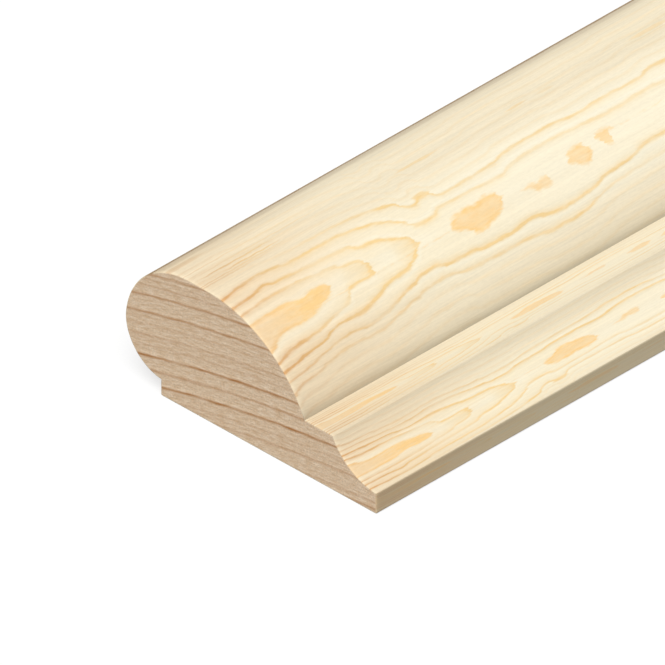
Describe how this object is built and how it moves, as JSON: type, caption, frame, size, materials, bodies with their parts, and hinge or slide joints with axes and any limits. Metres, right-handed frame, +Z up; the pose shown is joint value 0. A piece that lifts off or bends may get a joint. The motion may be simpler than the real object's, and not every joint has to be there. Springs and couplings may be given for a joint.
{
  "type": "picture rail",
  "caption": "Straight length of planed softwood picture rail with a rounded hanging head, curved flank, flat band, cove and thin nose edge.",
  "frame": {"origin": "bottom centre of the whole length, on the plane of the flat wall face", "axes": "+X across the section from the rounded head to the nose edge, +Y along the length and the grain, +Z up from the wall face to the crown"},
  "size_m": [0.045, 2.4, 0.02],
  "materials": {
    "softwood": "matt, planed and unsealed, with straight grain along the length and sawn end grain on both ends"
  },
  "bodies": {
    "root": {"picture_rail": "softwood"}
  },
  "joints": []
}
